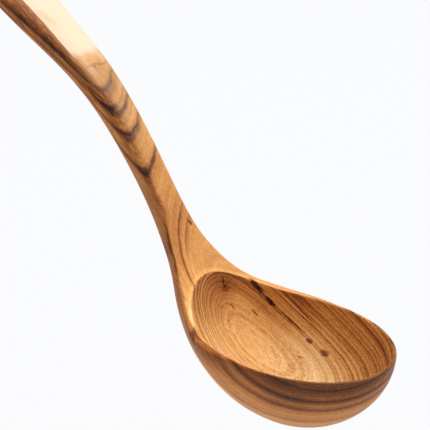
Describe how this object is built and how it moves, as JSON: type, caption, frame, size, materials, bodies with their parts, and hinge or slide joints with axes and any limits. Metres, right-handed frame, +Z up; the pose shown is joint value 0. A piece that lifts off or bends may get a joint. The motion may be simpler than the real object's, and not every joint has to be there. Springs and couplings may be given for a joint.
{
  "type": "wooden ladle",
  "caption": "Deep-bowled soup ladle carved from one piece of hardwood, with a narrow neck and a rising handle that widens to a round end.",
  "frame": {"origin": "middle of the small flat under the bowl, at the bowl's lowest point when its rim is level", "axes": "+Z up with the bowl's rim level, +X from the handle towards the bowl's tip, Y = 0 the plane of symmetry"},
  "size_m": [0.2789, 0.0794, 0.2045],
  "materials": {
    "wood": "satin oil"
  },
  "bodies": {
    "root": {"ladle": "wood"}
  },
  "joints": []
}
